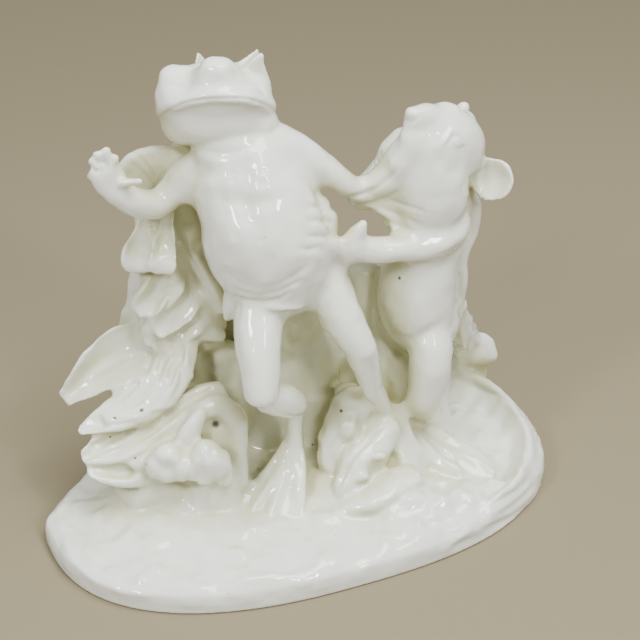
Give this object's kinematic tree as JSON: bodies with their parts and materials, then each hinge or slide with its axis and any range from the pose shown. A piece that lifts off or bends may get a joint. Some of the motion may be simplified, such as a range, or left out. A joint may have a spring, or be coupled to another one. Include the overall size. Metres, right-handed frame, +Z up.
{
  "type": "porcelain animal figure group",
  "caption": "White glazed porcelain group of a crowned frog and a mouse among water plants and rock, on a rounded oval ground plinth with a shallow pool.",
  "frame": {"origin": "middle of the plinth's underside, on the surface it stands on", "axes": "+X along the plinth's long axis towards the pool, +Y across it towards the back, +Z up"},
  "size_m": [0.24, 0.157, 0.2194],
  "materials": {
    "porcelain": "clear glossy glaze over white porcelain"
  },
  "bodies": {
    "root": {"porcelain_group": "porcelain"}
  },
  "joints": []
}
